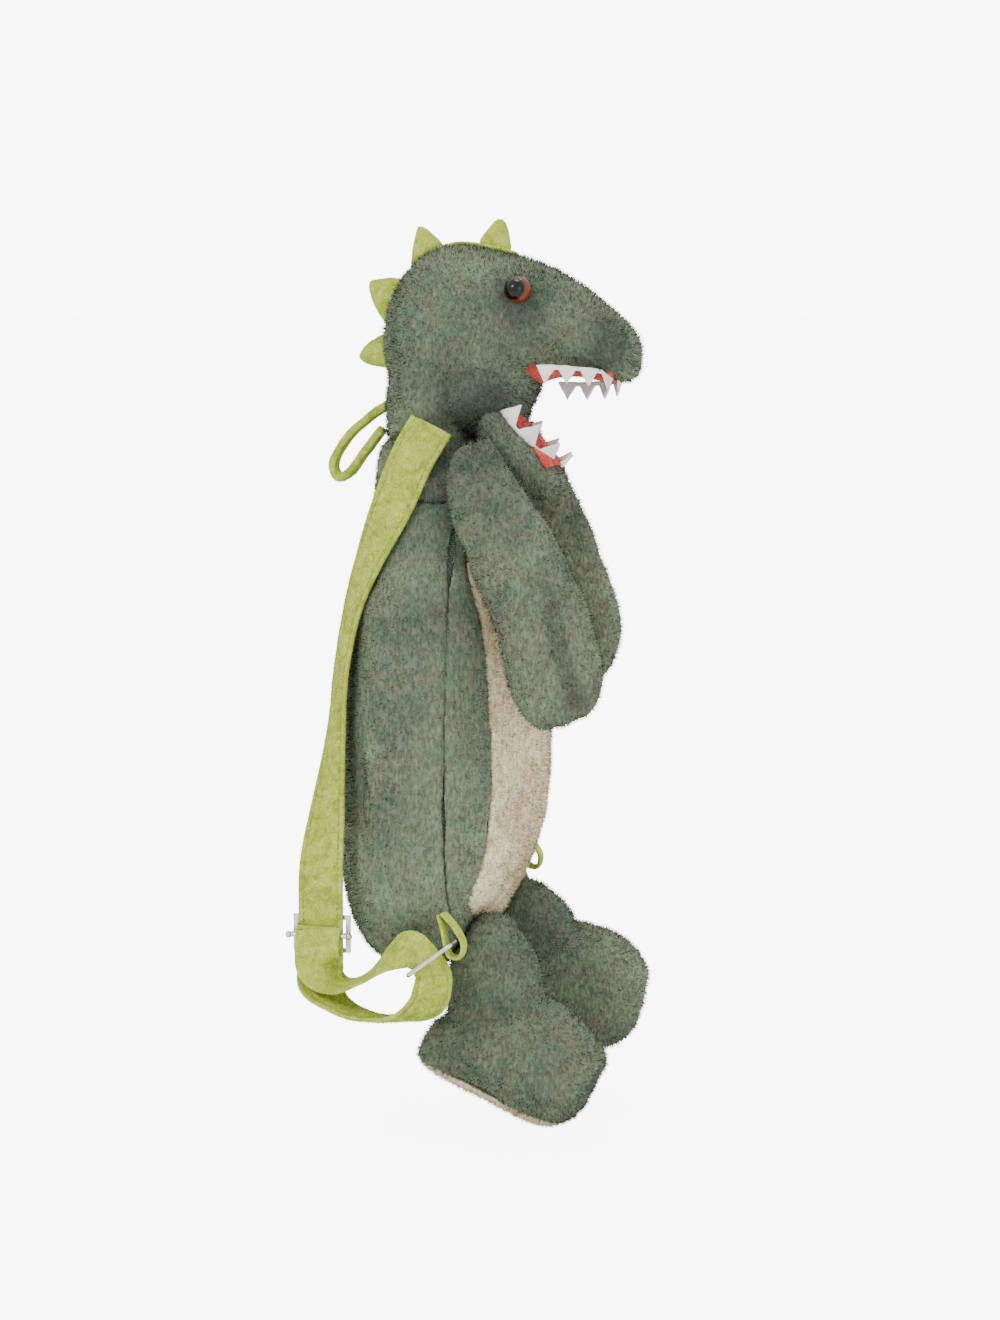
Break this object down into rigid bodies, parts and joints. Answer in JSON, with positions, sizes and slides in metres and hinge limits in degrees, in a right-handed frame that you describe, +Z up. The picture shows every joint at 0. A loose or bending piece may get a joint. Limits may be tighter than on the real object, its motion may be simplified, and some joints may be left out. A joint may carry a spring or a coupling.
{
  "type": "plush dinosaur backpack",
  "caption": "Plush dinosaur worn as a small backpack: stuffed head with hinged jaw, soft arms and legs, zipped pouch, carry loop and adjustable straps.",
  "frame": {"origin": "the nape, where the carry loop is sewn in; it hangs from there", "axes": "+X forward, the way the nose points; +Y the dinosaur's left; +Z up"},
  "size_m": [0.1749, 0.2264, 0.4945],
  "materials": {
    "green_plush": "short pile plush, mottled grey green",
    "cream_plush": "short pile plush, cream",
    "lime_velour": "velour, lime green",
    "lining": "woven polyester lining",
    "zip_tape": "woven tape",
    "zip_plastic": "moulded zip teeth",
    "nickel": "nickel plated",
    "filling": "polyester fibre filling",
    "red_cloth": "red velboa",
    "white_felt": "white felt",
    "eye_amber": "amber plastic safety eye",
    "eye_black": "glossy black dome",
    "washer_plastic": "moulded locking washer"
  },
  "bodies": {
    "bag": {"right_back_panel": "green_plush", "left_back_panel": "green_plush", "right_front_panel": "green_plush", "left_front_panel": "green_plush", "belly_panel": "cream_plush", "lining_pouch": "lining", "right_zip_tape": "zip_tape", "left_zip_tape": "zip_tape", "right_zip_teeth": "zip_plastic", "left_zip_teeth": "zip_plastic", "zip_stops": "zip_plastic", "right_strap": "lime_velour", "left_strap": "lime_velour", "right_strap_tail": "lime_velour", "left_strap_tail": "lime_velour", "right_side_tab": "lime_velour", "left_side_tab": "lime_velour"},
    "zip_runner": {"zip_slider": "nickel"},
    "zip_tab": {"zip_pull": "nickel"},
    "handle": {"carry_loop": "lime_velour"},
    "head": {"head_shell": "green_plush", "head_stuffing": "filling", "crest_strip": "lime_velour", "crest_spike_1": "lime_velour", "crest_spike_2": "lime_velour", "crest_spike_3": "lime_velour", "crest_spike_4": "lime_velour", "palate_lining": "red_cloth", "upper_teeth": "white_felt", "right_eye": "eye_amber", "left_eye": "eye_amber", "right_pupil": "eye_black", "left_pupil": "eye_black", "right_eye_washer": "washer_plastic", "left_eye_washer": "washer_plastic"},
    "jaw": {"lower_jaw": "green_plush", "lower_jaw_stuffing": "filling", "mouth_lining": "red_cloth", "lower_teeth": "white_felt"},
    "right_arm": {"right_arm": "green_plush", "right_arm_stuffing": "filling"},
    "left_arm": {"left_arm": "green_plush", "left_arm_stuffing": "filling"},
    "right_leg": {"right_leg": "green_plush", "right_leg_stuffing": "filling", "right_sole": "cream_plush"},
    "left_leg": {"left_leg": "green_plush", "left_leg_stuffing": "filling", "left_sole": "cream_plush"},
    "right_ring": {"right_ring": "nickel"},
    "left_ring": {"left_ring": "nickel"},
    "right_buckle": {"right_strap_slider": "nickel"},
    "left_buckle": {"left_strap_slider": "nickel"}
  },
  "joints": [
    {"name": "head_nod", "type": "hinge", "parent": "bag", "child": "head", "pos_m": [0.025, 0, -0.045], "axis": [0, 1, 0], "range_deg": [-1.5, 2.5], "stiffness_Nm_per_rad": 6},
    {"name": "jaw_close", "type": "hinge", "parent": "head", "child": "jaw", "pos_m": [0.055, 0.00194, 0.00276], "axis": [0, -0.9703, 0.2419], "range_deg": [0, 28], "stiffness_Nm_per_rad": 0.8},
    {"name": "loop_swing", "type": "hinge", "parent": "bag", "child": "handle", "pos_m": [-0.003, 0, -0.002], "axis": [0, 1, 0], "range_deg": [-6, 28], "stiffness_Nm_per_rad": 0.05},
    {"name": "zip_run", "type": "slide", "parent": "bag", "child": "zip_runner", "axis": [-0.0454, 0, -0.999], "range_m": [0, 0.108]},
    {"name": "pull_swing", "type": "hinge", "parent": "zip_runner", "child": "zip_tab", "pos_m": [-0.02416, 0, -0.10134], "axis": [0, 1, 0], "range_deg": [0, 150]},
    {"name": "right_arm_swing", "type": "hinge", "parent": "bag", "child": "right_arm", "pos_m": [0.06, -0.055, -0.014], "axis": [0, -1, 0], "range_deg": [-5, 90], "stiffness_Nm_per_rad": 0.6},
    {"name": "right_leg_swing", "type": "hinge", "parent": "bag", "child": "right_leg", "pos_m": [0.066, -0.042, -0.288], "axis": [0, -1, 0], "range_deg": [-10, 60], "stiffness_Nm_per_rad": 0.8},
    {"name": "right_ring_swing", "type": "hinge", "parent": "bag", "child": "right_ring", "pos_m": [0.05632, -0.0972, -0.27889], "axis": [0, 1, 0], "range_deg": [-5, 5]},
    {"name": "right_buckle_slide", "type": "slide", "parent": "bag", "child": "right_buckle", "axis": [0, 0, 1], "range_m": [0, 0.012], "deforming": ["right_strap_tail"]},
    {"name": "left_arm_swing", "type": "hinge", "parent": "bag", "child": "left_arm", "pos_m": [0.06, 0.058, -0.014], "axis": [0, -1, 0], "range_deg": [-5, 90], "stiffness_Nm_per_rad": 0.6},
    {"name": "left_leg_swing", "type": "hinge", "parent": "bag", "child": "left_leg", "pos_m": [0.066, 0.042, -0.284], "axis": [0, -1, 0], "range_deg": [0, 60], "stiffness_Nm_per_rad": 0.8},
    {"name": "left_ring_swing", "type": "hinge", "parent": "bag", "child": "left_ring", "pos_m": [0.05632, 0.0972, -0.26289], "axis": [0, 1, 0], "range_deg": [-5, 5]},
    {"name": "left_buckle_slide", "type": "slide", "parent": "bag", "child": "left_buckle", "axis": [0, 0, 1], "range_m": [0, 0.012], "deforming": ["left_strap_tail"]}
  ]
}
